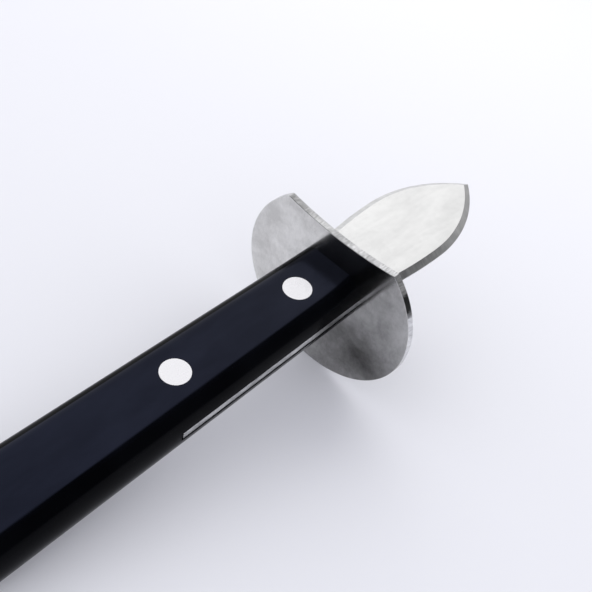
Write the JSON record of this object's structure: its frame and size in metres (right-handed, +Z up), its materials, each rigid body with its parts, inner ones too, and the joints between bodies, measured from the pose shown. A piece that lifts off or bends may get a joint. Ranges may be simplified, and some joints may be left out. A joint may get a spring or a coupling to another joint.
{
  "type": "shellfish opening knife",
  "caption": "Short lancet-bladed opening knife with a half tang, a D-shaped hand guard and a flat-sided handle held by cutler's rivets.",
  "frame": {"origin": "centre of the bounding box's bottom face, on the table that the knife rests on", "axes": "+X towards the blade's tip, +Y to the left across the knife, +Z up from the table; the knife lies at rest on its guard's rim and its butt, so its own length is tilted 11.8 degrees up towards the tip"},
  "size_m": [0.1626, 0.0502, 0.0436],
  "materials": {
    "handle_plastic": "smooth satin black moulded plastic with a slight gloss",
    "blade_steel": "finely polished stainless steel with coarse ground edges",
    "guard_steel": "tumble-polished stainless sheet, cloudy, with a sheared edge",
    "rivet_metal": "buffed flush with the handle"
  },
  "bodies": {
    "root": {"handle": "handle_plastic", "blade": "blade_steel", "guard": "guard_steel", "front_rivet_socket": "rivet_metal", "front_rivet_pin": "rivet_metal", "rear_rivet_socket": "rivet_metal", "rear_rivet_pin": "rivet_metal"}
  },
  "joints": []
}
